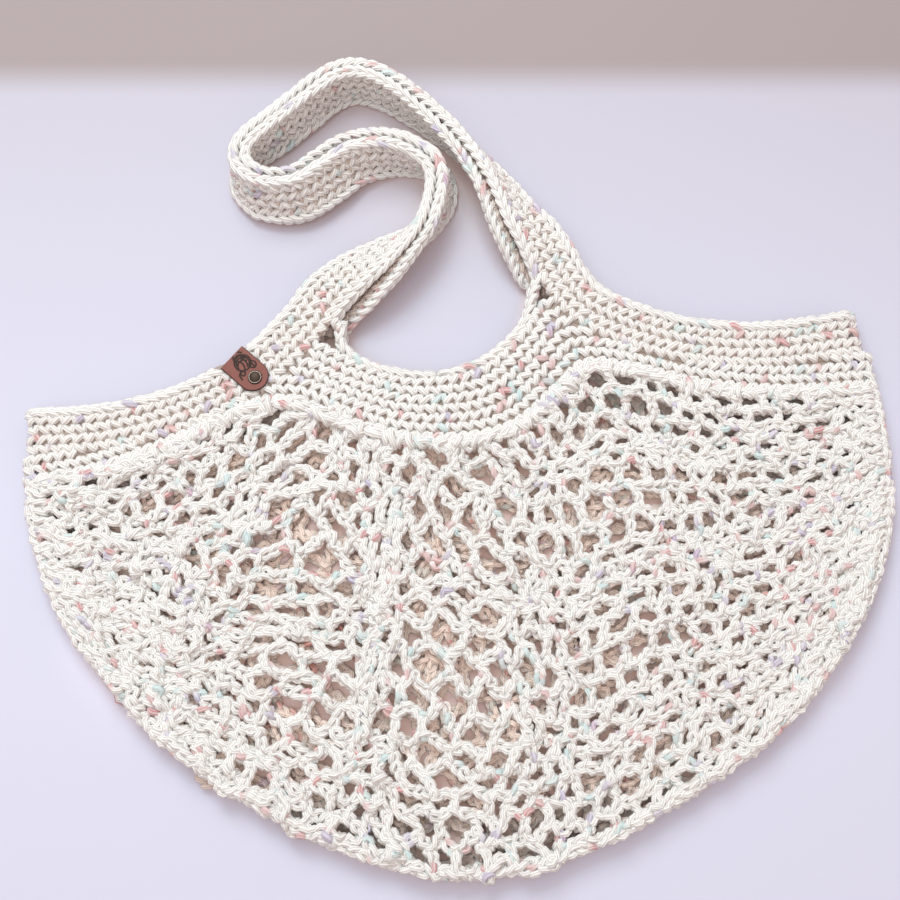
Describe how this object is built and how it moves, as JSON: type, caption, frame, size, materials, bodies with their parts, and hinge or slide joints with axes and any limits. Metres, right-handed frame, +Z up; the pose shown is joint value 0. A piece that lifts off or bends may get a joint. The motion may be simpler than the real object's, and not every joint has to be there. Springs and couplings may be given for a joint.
{
  "type": "mesh produce bag",
  "caption": "Crocheted cotton mesh produce bag lying flat, with a netted pouch, solid band, long twin straps and a riveted leather tag.",
  "frame": {"origin": "on the resting face, in the middle of the band under the hand hole", "axes": "+X to the right across the mouth, +Y from the bag's bottom towards the handles, +Z up off the table"},
  "size_m": [0.4726, 0.4544, 0.0282],
  "materials": {
    "cotton_yarn": "matte plied cotton yarn with sparse coral, aqua and lilac flecks",
    "tag_leather": "matte leather with dark burnt edges",
    "antique_brass": "dark antiqued metal, satin"
  },
  "bodies": {
    "bag": {"back_net": "cotton_yarn", "front_net": "cotton_yarn", "left_fold": "cotton_yarn", "right_fold": "cotton_yarn", "bottom_fold": "cotton_yarn", "back_band": "cotton_yarn", "front_band": "cotton_yarn", "back_gather_round": "cotton_yarn", "front_gather_round": "cotton_yarn", "back_left_rim": "cotton_yarn", "back_right_rim": "cotton_yarn", "back_scoop_rim": "cotton_yarn", "front_left_rim": "cotton_yarn", "front_right_rim": "cotton_yarn", "front_scoop_rim": "cotton_yarn", "leather_tag": "tag_leather", "rivet_cap": "antique_brass", "rivet_post": "antique_brass"},
    "front_handle": {"front_strap": "cotton_yarn", "front_strap_outer_edging": "cotton_yarn", "front_strap_inner_edging": "cotton_yarn"},
    "back_handle": {"back_strap": "cotton_yarn", "back_strap_outer_edging": "cotton_yarn", "back_strap_inner_edging": "cotton_yarn"}
  },
  "joints": [
    {"name": "front_handle_lift", "type": "hinge", "parent": "bag", "child": "front_handle", "pos_m": [-0.08, 0.05, 0.016], "axis": [0.9839, 0.1789, 0], "range_deg": [0, 85]},
    {"name": "back_handle_lift", "type": "hinge", "parent": "bag", "child": "back_handle", "pos_m": [-0.08, 0.05, 0.016], "axis": [0.9839, 0.1789, 0], "range_deg": [0, 85]}
  ],
  "couplings": [
    {"joint": "back_handle_lift", "follows": "front_handle_lift", "ratio": 1}
  ]
}
